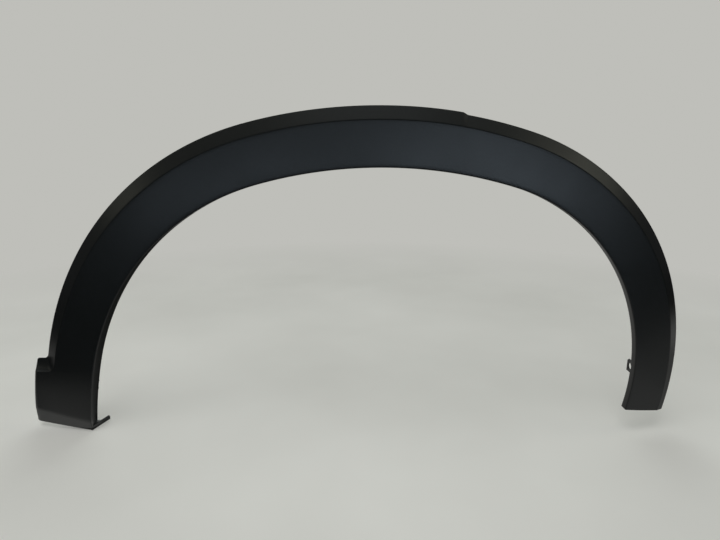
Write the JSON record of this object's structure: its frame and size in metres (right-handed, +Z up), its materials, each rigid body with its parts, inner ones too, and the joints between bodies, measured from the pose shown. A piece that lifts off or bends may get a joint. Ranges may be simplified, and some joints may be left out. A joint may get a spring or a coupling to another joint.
{
  "type": "wheel arch trim",
  "caption": "One-piece moulded trim that frames a car's wheel opening, with a wide foot, a bevelled outer edge and clip seats behind its face.",
  "frame": {"origin": "middle of the part's box at its lowest point, with the trim upright as it hangs on a vehicle", "axes": "+X runs along the vehicle from the wide foot to the narrow tail, +Y points into the bodywork behind the trim, +Z is up"},
  "size_m": [0.978, 0.052, 0.4771],
  "materials": {
    "trim": "fine-grained black moulding, low sheen"
  },
  "bodies": {
    "root": {"arch_trim": "trim"}
  },
  "joints": []
}
